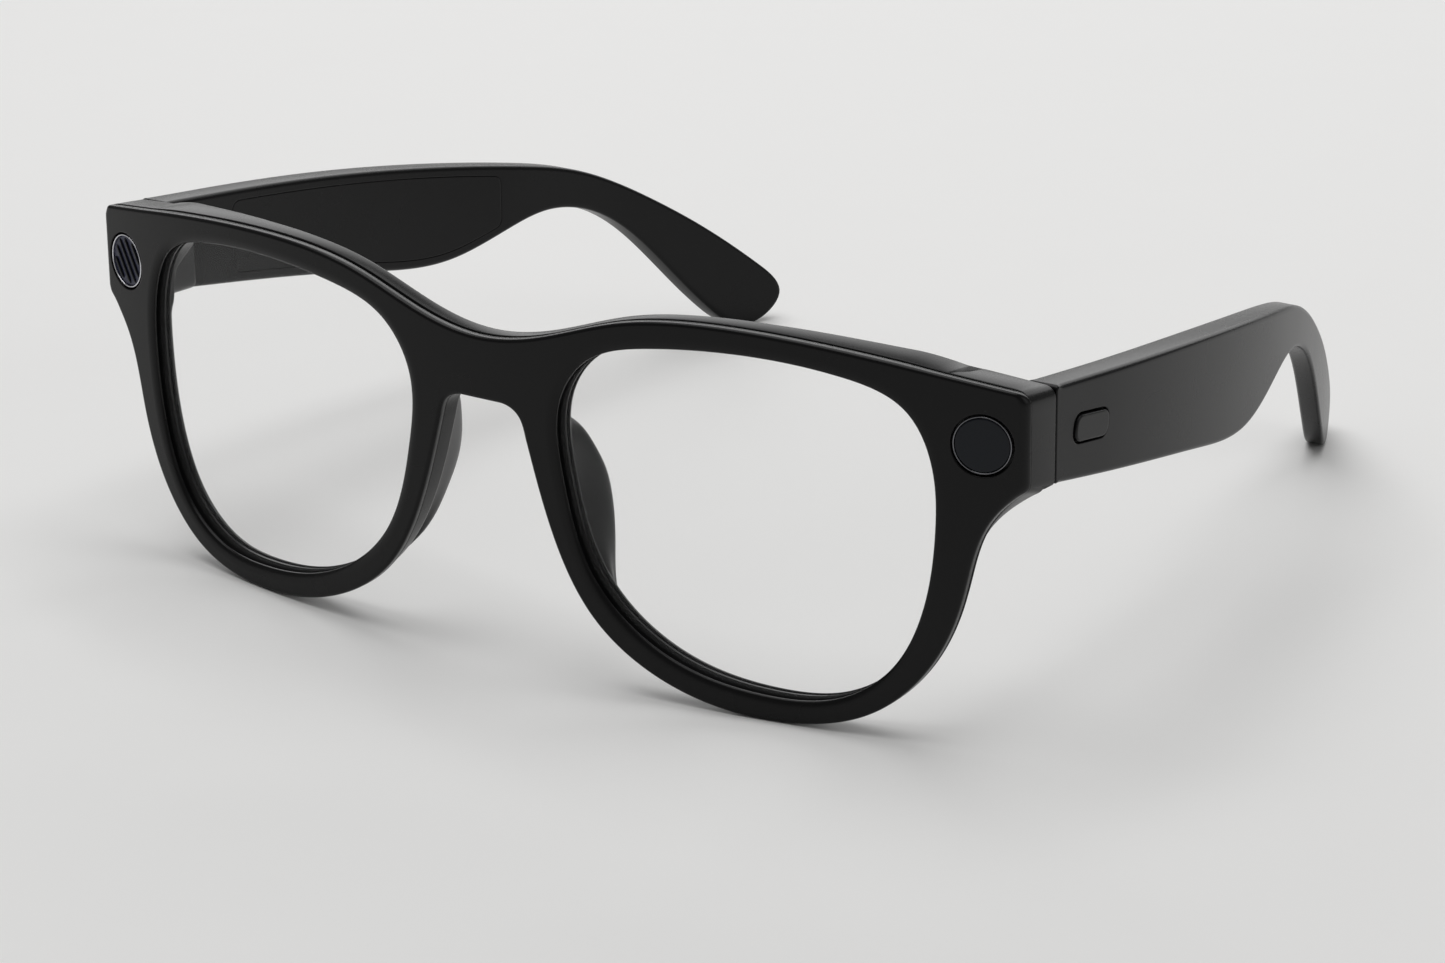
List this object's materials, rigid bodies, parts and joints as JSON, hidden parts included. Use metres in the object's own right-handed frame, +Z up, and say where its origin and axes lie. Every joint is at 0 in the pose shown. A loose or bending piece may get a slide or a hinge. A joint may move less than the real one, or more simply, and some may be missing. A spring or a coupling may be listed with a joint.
{
  "type": "smart glasses",
  "caption": "Wrapped full-rim eyeglass frame with clear lenses, a corner camera and capture light behind round windows, and folding temples that hold the electronics.",
  "frame": {"origin": "on the rest plane under the middle of the bounding box, glasses standing on rims and temple tips with the temples open", "axes": "+X to the wearer's left, -Y the way the wearer looks, +Z up"},
  "size_m": [0.1474, 0.1396, 0.0511],
  "materials": {
    "battery_foil": "laminated foil",
    "board_green": "solder mask",
    "contact_metal": "gold plated",
    "core_steel": "satin wire",
    "driver_housing": "satin black",
    "flex_film": "amber film",
    "gloss_black": "smooth dark grey, semi-gloss moulding",
    "hinge_steel": "satin",
    "lens_clear": "clear, anti-reflective",
    "lens_glass": "coated optical glass",
    "light_guide_plastic": "translucent dark blue with ribs",
    "mesh_steel": "blackened mesh",
    "seal_rubber": "matte black",
    "sensor_black": "matte black",
    "trim_metal": "polished",
    "window_glass": "polished, near-black blue"
  },
  "bodies": {
    "front": {"front_bezel": "gloss_black", "front_frame": "gloss_black", "left_lens": "lens_clear", "right_lens": "lens_clear", "left_lens_gasket": "seal_rubber", "right_lens_gasket": "seal_rubber", "front_flex_cable": "flex_film", "bridge_microphone": "sensor_black", "charging_contacts": "contact_metal", "left_nose_pad": "gloss_black", "right_nose_pad": "gloss_black", "camera_trim_ring": "trim_metal", "light_trim_ring": "trim_metal", "camera_window": "window_glass", "light_guide": "light_guide_plastic", "camera_barrel": "driver_housing", "camera_lens": "lens_glass", "camera_module": "sensor_black", "light_board": "board_green", "left_hinge_front_leaf": "hinge_steel", "right_hinge_front_leaf": "hinge_steel", "left_hinge_screw": "hinge_steel", "right_hinge_screw": "hinge_steel"},
    "left_temple": {"left_temple_shell": "gloss_black", "left_temple_cover": "gloss_black", "left_touch_sensor": "flex_film", "main_board": "board_green", "left_battery": "battery_foil", "left_speaker": "driver_housing", "left_microphone": "sensor_black", "left_speaker_mesh": "mesh_steel", "left_core_wire": "core_steel", "left_hinge_temple_leaf": "hinge_steel", "button_gasket": "seal_rubber", "button_switch": "sensor_black"},
    "right_temple": {"right_temple_shell": "gloss_black", "right_temple_cover": "gloss_black", "right_antenna": "flex_film", "power_board": "board_green", "right_battery": "battery_foil", "right_speaker": "driver_housing", "right_microphone": "sensor_black", "right_speaker_mesh": "mesh_steel", "right_core_wire": "core_steel", "right_hinge_temple_leaf": "hinge_steel"},
    "capture_button": {"capture_button": "gloss_black"}
  },
  "joints": [
    {"name": "left_temple_fold", "type": "hinge", "parent": "front", "child": "left_temple", "pos_m": [0.0671, -0.04935, 0.0401], "axis": [0, 0, 1], "range_deg": [0, 84]},
    {"name": "right_temple_fold", "type": "hinge", "parent": "front", "child": "right_temple", "pos_m": [-0.0671, -0.04935, 0.0401], "axis": [0, 0, -1], "range_deg": [0, 76]},
    {"name": "capture_button_press", "type": "slide", "parent": "left_temple", "child": "capture_button", "axis": [-1, 0, 0], "range_m": [0, 0.0004], "stiffness_N_per_m": 1500, "springref_m": -0.0002}
  ]
}
